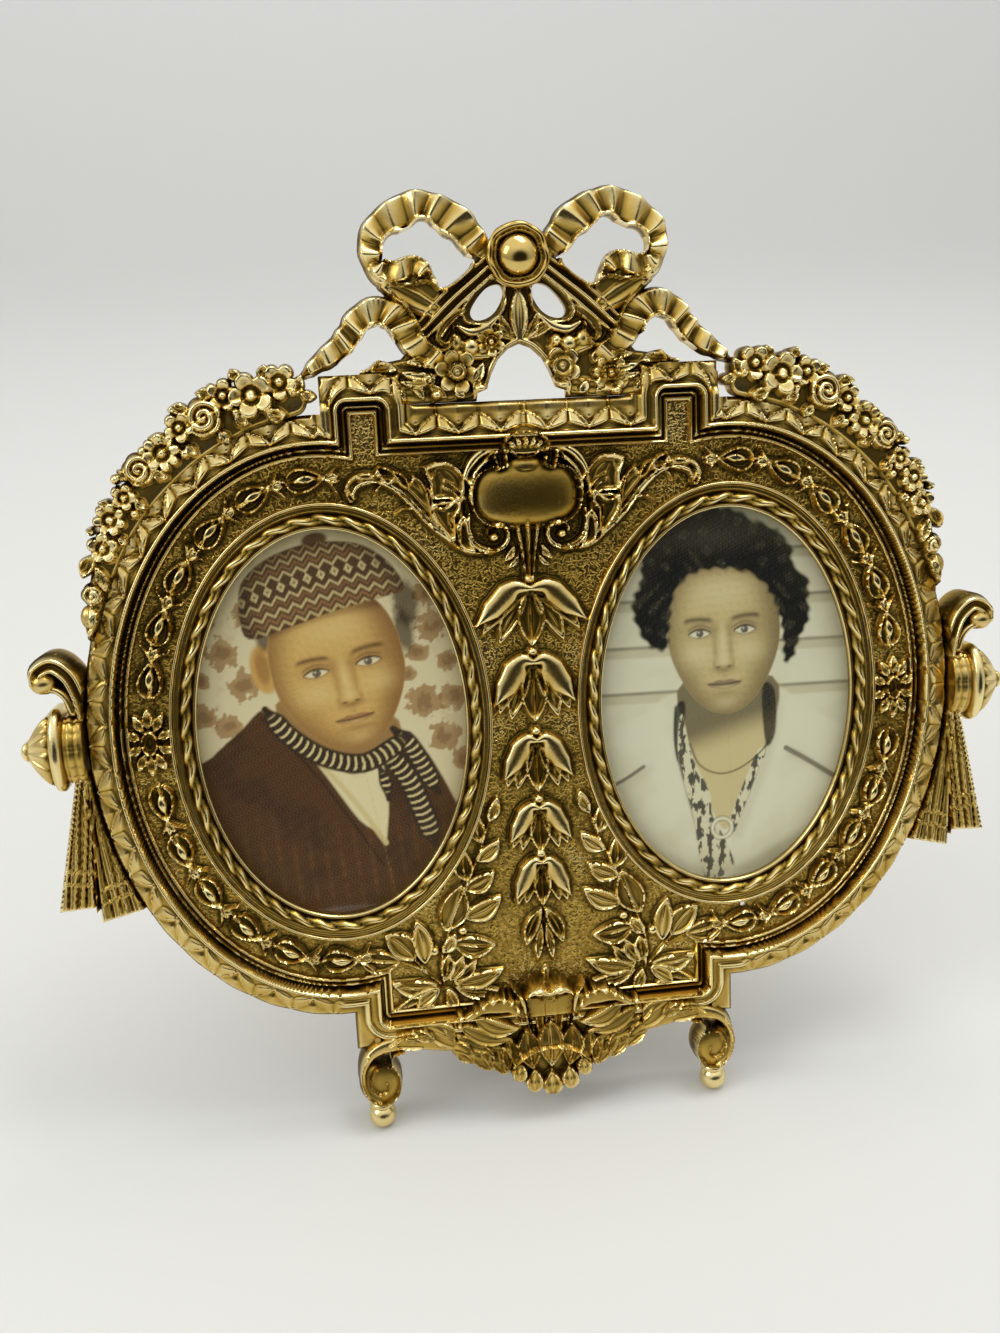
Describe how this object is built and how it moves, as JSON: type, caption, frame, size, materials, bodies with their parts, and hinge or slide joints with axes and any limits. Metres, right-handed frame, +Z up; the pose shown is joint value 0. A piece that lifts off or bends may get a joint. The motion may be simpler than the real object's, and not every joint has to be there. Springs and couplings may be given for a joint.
{
  "type": "double photo frame",
  "caption": "Standing brass photo frame with two oval openings side by side, ribbon bow crest, flower garlands, torches with tassels, scroll feet and a hinged easel strut.",
  "frame": {"origin": "middle of the standing frame's bounding box, on the table that the ball feet and the strut's foot stand on", "axes": "+Z up from the table, +X to the right as seen from the front, +Y backwards from the pictures towards the strut"},
  "size_m": [0.2724, 0.1114, 0.2456],
  "materials": {
    "gilt_brass": "cast and stamped brass with worn gilt lacquer, bright on the edges and brown in the hollows",
    "polished_brass": "polished brass",
    "back_brass": "unpolished brass sheet with brown patina",
    "screw_brass": "plain turned brass",
    "picture_glass": "clear float glass",
    "print_left": "old colour photograph faded to sepia, on glossy paper",
    "print_right": "old black and white photograph yellowed to cream, on glossy paper",
    "card": "plain grey-brown board"
  },
  "bodies": {
    "frame": {"rim_frame": "gilt_brass", "face_panel": "gilt_brass", "bow_crest": "gilt_brass", "crest_boss": "polished_brass", "garland_left": "gilt_brass", "garland_right": "gilt_brass", "torch_left": "gilt_brass", "torch_right": "gilt_brass", "foot_left": "gilt_brass", "foot_right": "gilt_brass", "shell_apron": "gilt_brass", "seat_ring_left": "back_brass", "seat_ring_right": "back_brass", "glass_left": "picture_glass", "glass_right": "picture_glass", "print_left": "print_left", "print_right": "print_right", "backing_card_left": "card", "backing_card_right": "card", "back_cover_left": "back_brass", "back_cover_right": "back_brass", "turn_button_screws": "screw_brass", "hinge_bracket": "back_brass", "hinge_pin": "screw_brass", "panel_screws": "screw_brass", "ornament_screws": "screw_brass", "crest_screws": "screw_brass", "torch_screws": "screw_brass", "bracket_screws": "screw_brass"},
    "strut": {"easel_strut": "back_brass"},
    "button_upper_left": {"turn_button_upper_left": "screw_brass"},
    "button_upper_right": {"turn_button_upper_right": "screw_brass"},
    "button_lower_left": {"turn_button_lower_left": "screw_brass"},
    "button_lower_right": {"turn_button_lower_right": "screw_brass"}
  },
  "joints": [
    {"name": "strut_hinge", "type": "hinge", "parent": "frame", "child": "strut", "pos_m": [0, 0.0049, 0.15394], "axis": [-1, 0, 0], "range_deg": [0, 34]},
    {"name": "button_upper_left_turn", "type": "hinge", "parent": "frame", "child": "button_upper_left", "pos_m": [-0.055, 0.00777, 0.17084], "axis": [0, 0.9563, -0.2924], "range_deg": [-90, 90]},
    {"name": "button_upper_right_turn", "type": "hinge", "parent": "frame", "child": "button_upper_right", "pos_m": [0.055, 0.00777, 0.17084], "axis": [0, 0.9563, -0.2924], "range_deg": [-90, 90]},
    {"name": "button_lower_left_turn", "type": "hinge", "parent": "frame", "child": "button_lower_left", "pos_m": [-0.04727, -0.02821, 0.05316], "axis": [0, 0.9563, -0.2924], "range_deg": [-90, 90]},
    {"name": "button_lower_right_turn", "type": "hinge", "parent": "frame", "child": "button_lower_right", "pos_m": [0.04727, -0.02821, 0.05316], "axis": [0, 0.9563, -0.2924], "range_deg": [-90, 90]}
  ]
}
